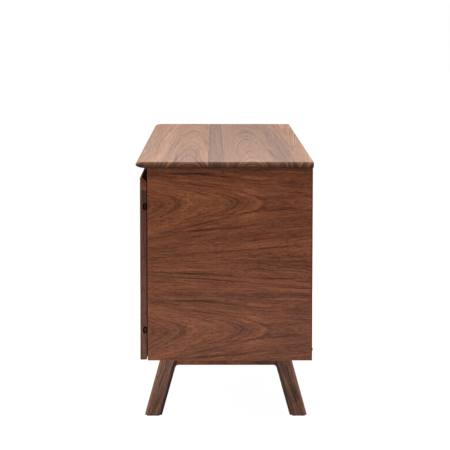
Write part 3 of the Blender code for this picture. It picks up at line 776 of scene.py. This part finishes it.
def leg_rail(node, look, radius):
    """The rail between the legs. Its ends follow their splay and run down them in a round fillet."""
    low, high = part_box(node)
    seam = SEAM / math.cos(LEG_SPLAY)
    turn = math.pi / 2 - LEG_SPLAY
    middle_y = leg_line(RAIL_BASE) - seam - LEG_FILLET * math.tan(turn / 2)
    middle_z = RAIL_BASE - LEG_FILLET
    half = []
    for i in range(FILLET_STEPS + 1):
        t = LEG_SPLAY + turn * (FILLET_TIP + (1 - FILLET_TIP) * i / FILLET_STEPS)
        half.append((middle_y + LEG_FILLET * math.cos(t), middle_z + LEG_FILLET * math.sin(t)))
    tip = half[0][1]
    half = [(leg_line(high.z) - seam, high.z), (leg_line(tip) - seam, tip)] + half
    outline = [(FRAME_MIDDLE_Y + y, z) for y, z in half + [(-y, z) for y, z in reversed(half)]]
    bm = prism(outline, low.x, high.x)
    underside = []
    for edge in bm.edges:
        ends = [v.co for v in edge.verts]
        along_profile = abs(ends[0].x - ends[1].x) < SEAM
        low_down = all(tip + SEAM < co.z < RAIL_BASE + SEAM for co in ends)
        if along_profile and low_down:
            underside.append(edge)
    bmesh.ops.bevel(bm, geom=underside, offset=radius, segments=3, profile=0.5, affect="EDGES")
    return put(f"{node}_shaped", bm, look, "cabinet", node, slot=slot_of_node(node))


def lean(t, foot):
    """Turns the grain to run up a splayed leg that stands at a place across the frame."""
    sine, cosine = math.sin(LEG_SPLAY), math.cos(LEG_SPLAY)

    def turn(paint, u, v, w):
        v = paint.sub(v, foot)
        along = paint.sub(paint.times(u, cosine), paint.times(v, t * sine))
        across = paint.add(paint.times(v, cosine), paint.times(u, t * sine))
        return along, across, w

    return turn


GOLDEN = 0.61803  # steps by it never fall twice on the same place

WOODWORK = {
    # piece: along the grain, across it, palette, roughness, arris (m), shape
    "inner_top_panel": ("X", "Y", WALNUT_INSIDE, 0.45, 0.0006, board),
    "bottom_panel": ("X", "Y", WALNUT_INSIDE, 0.45, 0.0006, board),
    "niche_shelf": ("X", "Y", WALNUT, 0.42, 0.0005, softened),
    "back_panel": ("X", "Z", WALNUT_INSIDE, 0.55, 0.0003, softened),
    "drawer_front": ("X", "Z", WALNUT, 0.42, 0.0, softened),
    "drawer_grip_rail": ("X", "Z", WALNUT, 0.42, 0.0, softened),
    "drawer_left_side": ("Y", "Z", MAPLE, 0.45, 0.0022, board),
    "drawer_right_side": ("Y", "Z", MAPLE, 0.45, 0.0022, board),
    "drawer_back": ("X", "Z", MAPLE, 0.45, 0.0018, board),
    "drawer_bottom": ("X", "Y", MAPLE, 0.50, 0.0004, board),
    "divider": ("Y", "Z", WALNUT_INSIDE, 0.45, 0.0006, board),
    "shelf": ("X", "Y", WALNUT_INSIDE, 0.45, 0.0008, board),
    "shelf_bearer_divider": ("Y", "Z", WALNUT_INSIDE, 0.50, 0.0012, board),
    "shelf_bearer_end": ("Y", "Z", WALNUT_INSIDE, 0.50, 0.0012, board),
    "leg_rail": ("Y", "Z", WALNUT, 0.45, 0.0012, leg_rail),
    "door_panel": ("X", "Z", WALNUT, 0.42, 0.0, softened),
    "door_grip_rail": ("X", "Z", WALNUT, 0.42, 0.0, softened),
    "door_hinge_stile": ("Z", "X", WALNUT_STILE, 0.44, 0.0, softened),
    "door_closing_stile": ("Z", "X", WALNUT_STILE, 0.44, 0.0, softened),
}


def make_woodwork():
    """Every remaining wooden piece. Each has its own place in the log, so no two figures agree."""
    nodes = sorted(frame["nodes"])
    for order, node in enumerate(nodes):
        kind = node
        for side, _ in SIDES:
            if node.startswith(f"{side}_"):
                kind = node[len(side) + 1:]
        kind = kind if kind in WOODWORK else node
        if kind not in WOODWORK:
            continue
        along, across, colours, roughness, arris, shape = WOODWORK[kind]
        low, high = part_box(node)
        middle = dict(zip("XYZ", (low + high) / 2))
        size = dict(zip("XYZ", high - low))
        through = ({"X", "Y", "Z"} - {along, across}).pop()
        turn = (order * GOLDEN) % 1.0
        figure = {
            # within or just past the board's width, and 30 to 80 mm before or behind it
            "pith": (
                middle[across] + (turn - 0.5) * 1.3 * size[across],
                middle[through] + (0.030 + 0.050 * turn) * (1 if order % 2 else -1),
            ),
            "taper": 0.035 + 0.03 * turn, "wander": 0.014, "ring": 0.0075, "ripple": 0.006,
            "seed": 40.0 + 1.7 * order, "line": 0.35 if colours is MAPLE else 0.75,
        }
        contrast = 0.55 if colours is MAPLE else 1.0
        end_dark = 0.10 if kind.endswith("grip_rail") else 0.45
        look = walnut(
            f"wood_{node}", along, across, figure, colours, roughness=roughness, contrast=contrast,
            end_dark=end_dark, worn=(low, high),
        )
        shape(node, look, arris)


def ring_mesh(bm, outlines):
    """Joins closed outlines, each to the next, into a skin and gives their vertices."""
    made = [[bm.verts.new(point) for point in outline] for outline in outlines]
    for lower, upper in zip(made, made[1:]):
        for i in range(len(lower)):
            j = (i + 1) % len(lower)
            bm.faces.new((lower[i], lower[j], upper[j], upper[i]))
    return made


def screw_into(bm, place, axis, radius=SCREW_RADIUS, proud=1.0):
    """A low head with a hexagonal recess, its face square to an axis. proud stretches its height."""
    turn = Vector(axis).to_track_quat("Z", "Y").to_matrix()
    sixth, twelfth = math.pi / 3, math.pi / 6
    levels = []
    for reach, height, hexagonal in SCREW_PROFILE:
        level = []
        for i in range(SCREW_SIDES):
            t = 2 * math.pi * i / SCREW_SIDES
            flat = math.cos(twelfth) / math.cos((t + twelfth) % sixth - twelfth)  # along a hexagon
            r = radius * reach * (flat if hexagonal else 1.0)
            point = Vector((r * math.cos(t), r * math.sin(t), radius * height * proud))
            level.append(Vector(place) + turn @ point)
        levels.append(level)
    made = ring_mesh(bm, levels)
    for ring in (made[0], made[-1]):
        hub = bm.verts.new(sum((v.co for v in ring), Vector()) / len(ring))
        for i, vertex in enumerate(ring):
            bm.faces.new((vertex, ring[(i + 1) % len(ring)], hub))


def screws(name, places, axis, look, body, slot, radius=SCREW_RADIUS, proud=1.0):
    """Screws that share a direction, as one piece."""
    bm = bmesh.new()
    for place in places:
        screw_into(bm, place, axis, radius, proud)
    return put(name, bm, look, body, slot=slot)


def make_hinges(bronze, steel):
    """Bronze hinges with four screws in each leaf."""
    rises = (-HINGE_SCREW_RISE, HINGE_SCREW_RISE)
    for side, s in SIDES:
        for level, z in HINGE_LEVELS.items():
            label = f"{side}_{level}_hinge"
            softened(f"{label}_frame_leaf", bronze, 0.0)
            softened(f"{label}_door_leaf", bronze, 0.00025, 2)
            softened(f"{label}_pin", bronze, 0.00015, 1, angle=40.0)
            low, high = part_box(f"{label}_frame_leaf")
            inner = low.x if s > 0 else high.x
            places = [(inner, high.y - back, z + rise) for back in FRAME_LEAF_SCREWS for rise in rises]
            screws(
                f"{label}_frame_screws", places, (-s, 0, 0), steel, "cabinet", "dark_bronze",
                HINGE_SCREW_RADIUS,
            )
            low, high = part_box(f"{label}_door_leaf")
            free = low.x if s > 0 else high.x
            places = [(free + s * far, high.y, z + rise) for far in DOOR_LEAF_SCREWS for rise in rises]
            screws(
                f"{label}_door_screws", places, (0, 1, 0), steel, f"{side}_door", "dark_bronze",
                HINGE_SCREW_RADIUS,
            )


def make_catches(plastic, steel):
    """Two pole plates stand in each catch's nose, and a keeper on the door meets them."""
    for side, s in SIDES:
        node = f"{side}_door_catch"
        softened(node, plastic, 0.0009, 3)
        low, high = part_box(node)
        middle = (low + high) / 2
        bm = bmesh.new()
        for shift in (-POLE_PLATE_SHIFT, POLE_PLATE_SHIFT):
            half = Vector(POLE_PLATE) / 2
            place = Vector((middle.x + shift, low.y + half.y - POLE_PLATE_PROUD, middle.z))
            piece = block(place - half, place + half, 0.0003, 2)
            mesh = bpy.data.meshes.new("plate")
            piece.to_mesh(mesh)
            piece.free()
            bm.from_mesh(mesh)
            bpy.data.meshes.remove(mesh)
        put(f"{side}_catch_pole_plates", bm, steel, "cabinet", slot="zinc_steel")
        door_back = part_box(f"{side}_door_panel")[1].y
        half = Vector(KEEPER) / 2
        place = Vector((middle.x, door_back + half.y, middle.z))
        keeper = block(place - half, place + half, 0.0002, 2)
        put(f"{side}_catch_keeper", keeper, steel, f"{side}_door", slot="zinc_steel")


def make_slides(steel):
    """Three nested channels on each side of the drawer."""
    for side, _ in SIDES:
        for member in ("outer", "middle", "inner"):
            softened(f"{side}_slide_{member}", steel, 0.0003, 2)


def slot_outline(middle_x, middle_z, grow, y):
    """A cable slot's outline, grown outwards, in the plane at y."""
    radius = CABLE_RADIUS + grow
    points = []
    for sign, first in ((1, -90), (-1, 90)):
        for i in range(SLOT_END_STEPS + 1):
            t = math.radians(first + 180 * i / SLOT_END_STEPS)
            x = middle_x + sign * (CABLE_HALF - CABLE_RADIUS) + radius * math.cos(t)
            points.append((x, y, middle_z + radius * math.sin(t)))
    return points


def make_grommets(plastic):
    """A lipped ring lines each cable slot. Its flange lies on the back panel's outer face."""
    low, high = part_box("back_panel")
    inner, outer = low.y, high.y + SEAM
    section = (
        # outwards from the slot's edge, place through the panel
        (-SEAM, inner), (-SEAM, outer), (GROMMET_FLANGE, outer), (GROMMET_FLANGE, outer + 0.0007),
        (GROMMET_FLANGE - 0.0008, outer + 0.0014), (0.0002, outer + 0.0016),
        (-GROMMET_LIP, outer + 0.0008), (-GROMMET_LIP, inner),
    )
    for number, (x, z) in enumerate(CABLE_SLOTS):
        bm = bmesh.new()
        levels = [slot_outline(x, z, grow, y) for grow, y in section]
        ring_mesh(bm, levels + levels[:1])
        bmesh.ops.remove_doubles(bm, verts=bm.verts, dist=1e-7)
        put(f"cable_grommet_{number + 1}", bm, plastic, "cabinet", slot="brown_plastic")


def make_back_screws(steel):
    """Rows along the back panel's edges and dividers, and one screw in each end panel's rear edge."""
    low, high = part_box("back_panel")
    span = high.x - low.x - 2 * BACK_SCREW_CORNER
    places = []
    for i in range(BACK_SCREWS_IN_ROW):
        x = low.x + BACK_SCREW_CORNER + span * i / (BACK_SCREWS_IN_ROW - 1)
        places += [(x, high.y, z) for z in (low.z + BACK_SCREW_INSET, high.z - BACK_SCREW_INSET)]
    for x in (low.x + BACK_SCREW_INSET, high.x - BACK_SCREW_INSET, -DIVIDER_MIDDLE, DIVIDER_MIDDLE):
        places += [(x, high.y, low.z + (high.z - low.z) * share) for share in BACK_SCREW_LEVELS]
    screws("back_panel_screws", places, (0, 1, 0), steel, "cabinet", "dark_bronze")
    for side, s in SIDES:
        x, z = END_SCREW
        place = (s * x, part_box(f"{side}_end_panel")[1].y, z)
        screws(
            f"{side}_end_panel_screw", [place], (0, 1, 0), steel, "cabinet", "dark_bronze",
            END_SCREW_RADIUS, END_SCREW_PROUD,
        )


def make_feet():
    """Felt pads under the four feet."""
    look = felt()
    for side, _ in SIDES:
        for place in ("front", "rear"):
            softened(f"{side}_{place}_foot_pad", look, 0.0006, 3)


# ---------------------------------------------------------------- stage


def make_world():
    """The camera sees white. The light is dim below, brighter above, with a glow past the left end."""
    world = bpy.data.worlds.new("studio")
    bpy.context.scene.world = world
    paint = Paint(world)
    tree = paint.tree
    x, _, z = paint.axes("Generated")
    sky = paint.ramp(paint.spread(z, -1.0, 1.0), SKY)
    glow = paint.times(paint.spread(x, -0.75, -0.97), paint.spread(z, -0.02, 0.02))
    glow = paint.times(glow, paint.spread(z, 0.55, 0.25))
    glow = paint.mix(glow, BLACK, GLOW)
    sky = paint.mix(1.0, sky, glow, "ADD")
    light = tree.nodes["Background"]
    tree.links.new(sky, light.inputs["Color"])
    white = paint.node("ShaderNodeBackground", {"Color": (*WHITE, 1.0)})
    seen = paint.node("ShaderNodeLightPath", output="Is Camera Ray")
    pick = paint.node("ShaderNodeMixShader", ((0, seen), (1, light.outputs[0]), (2, white)))
    tree.links.new(pick, tree.nodes["World Output"].inputs["Surface"])


def make_floor():
    """A pale floor that shines evenly, like the bounce from a white studio."""
    bm = bmesh.new()
    bmesh.ops.create_grid(bm, x_segments=8, y_segments=8, size=FLOOR_HALF)
    mesh = bpy.data.meshes.new("floor")
    bm.to_mesh(mesh)
    bm.free()
    floor = bpy.data.objects.new("floor", mesh)
    bpy.context.scene.collection.objects.link(floor)
    paint = new_paint("pale_floor")
    place = paint.node("ShaderNodeTexCoord", output="Object")
    speck = paint.spread(paint.noise(place, 6.0, 4.0), 0.3, 0.7, *FLOOR_GREY)
    look = paint.finish(
        Base_Color=paint.mix(speck, BLACK, WHITE), Roughness=0.9, Emission_Color=(*WHITE, 1.0),
        Emission_Strength=FLOOR_GLOW,
    )
    mesh.materials.append(look)
    floor.visible_glossy = False


def make_lamps():
    for name, place, target, width, depth, power in LAMPS:
        data = bpy.data.lights.new(name, "AREA")
        data.shape = "RECTANGLE"
        data.size = width
        data.size_y = depth
        data.energy = power
        light = bpy.data.objects.new(name, data)
        bpy.context.scene.collection.objects.link(light)
        light.visible_camera = False
        light.location = place
        light.rotation_euler = (Vector(place) - Vector(target)).to_track_quat("Z", "Y").to_euler()


def make_camera():
    forward = Vector((
        -math.cos(CAMERA_PITCH) * math.cos(CAMERA_YAW),
        math.cos(CAMERA_PITCH) * math.sin(CAMERA_YAW),
        -math.sin(CAMERA_PITCH),
    ))
    right = Vector((math.sin(CAMERA_YAW), math.cos(CAMERA_YAW), 0.0))
    up = right.cross(forward)
    turn = Matrix((right, up, -forward)).transposed() @ Matrix.Rotation(CAMERA_ROLL, 3, "Z")
    data = bpy.data.cameras.new("camera")
    data.lens = CAMERA_LENS
    data.clip_end = 100.0
    camera = bpy.data.objects.new("camera", data)
    bpy.context.scene.collection.objects.link(camera)
    camera.matrix_world = Matrix.Translation(CAMERA_PLACE) @ turn.to_4x4()
    bpy.context.scene.camera = camera


def main():
    make_top()
    make_end_panels()
    make_legs()
    make_woodwork()
    bronze = metal("dark_bronze", (0.045, 0.032, 0.024), 0.46, (300.0, 300.0, 3000.0))
    screw_steel = metal("blackened_steel", (0.060, 0.052, 0.046), 0.40, (900.0, 900.0, 900.0))
    zinc = metal("zinc_steel", (0.52, 0.53, 0.54), 0.36, (900.0, 40.0, 900.0))
    plastic = moulded("brown_plastic", (0.060, 0.036, 0.024))
    make_hinges(bronze, screw_steel)
    make_catches(plastic, zinc)
    make_slides(zinc)
    make_grommets(plastic)
    make_back_screws(screw_steel)
    make_feet()
    bpy.context.scene.view_settings.view_transform = "Standard"
    make_world()
    make_floor()
    make_lamps()
    make_camera()


main()
